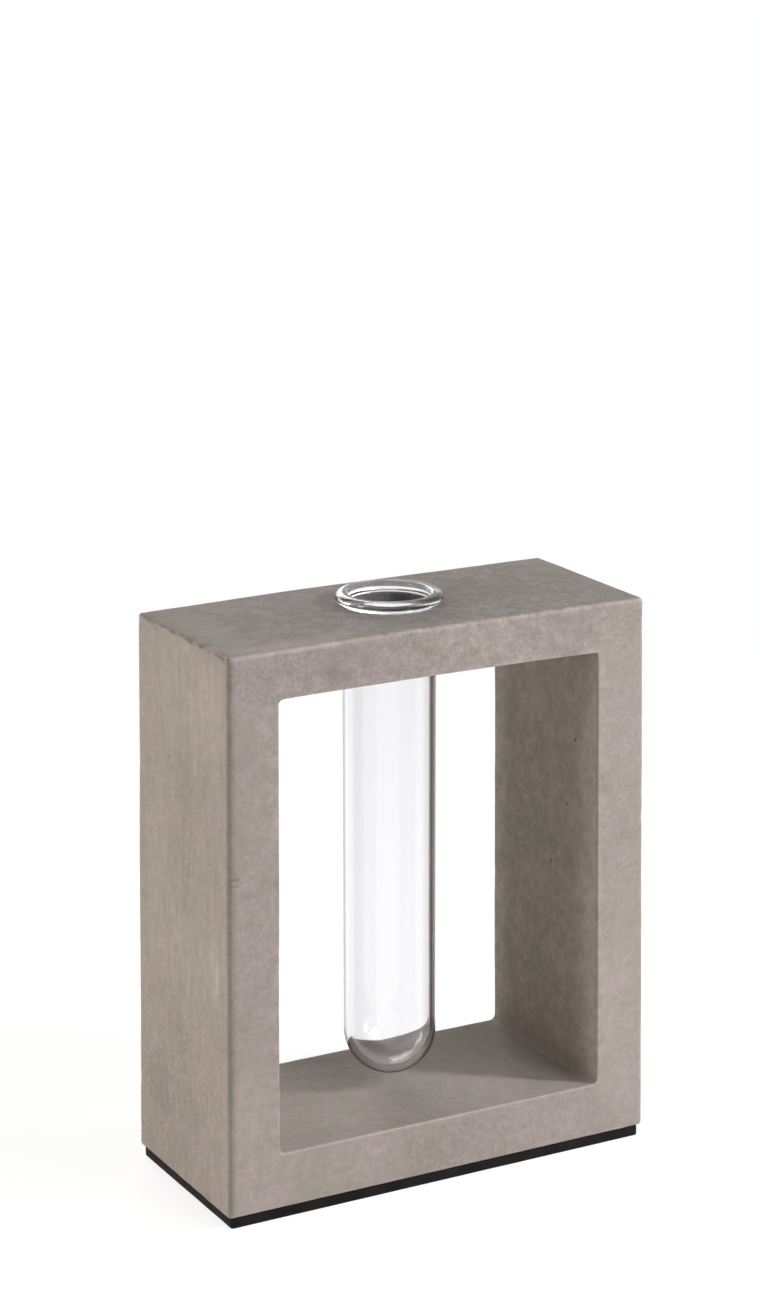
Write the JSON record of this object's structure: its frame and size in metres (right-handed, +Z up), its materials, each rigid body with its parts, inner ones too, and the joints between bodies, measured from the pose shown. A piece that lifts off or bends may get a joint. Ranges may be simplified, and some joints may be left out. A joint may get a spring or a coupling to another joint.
{
  "type": "vase",
  "caption": "Bud vase: an upright cast concrete window frame on a thin black rubber foot, with a clear round-bottomed glass tube that hangs by its rolled rim in the top bar and lifts out.",
  "frame": {"origin": "centre of the rubber foot's underside, on the surface that the vase stands on", "axes": "+Z up, along the tube's own axis, which lies 1.5 mm behind the middle; the window runs through from front (-Y) to back (+Y), and +X is to the right seen from the front"},
  "size_m": [0.1024, 0.0446, 0.1272],
  "materials": {
    "concrete": "matt",
    "clear_glass": "polished",
    "adhesive_film": "matt",
    "black_rubber": "matt"
  },
  "bodies": {
    "stand": {"concrete_frame": "concrete", "foot_adhesive": "adhesive_film", "rubber_foot": "black_rubber"},
    "tube": {"glass_tube": "clear_glass"}
  },
  "joints": [
    {"name": "tube_lift", "type": "slide", "parent": "stand", "child": "tube", "axis": [0, 0, 1], "range_m": [0, 0.109]}
  ]
}
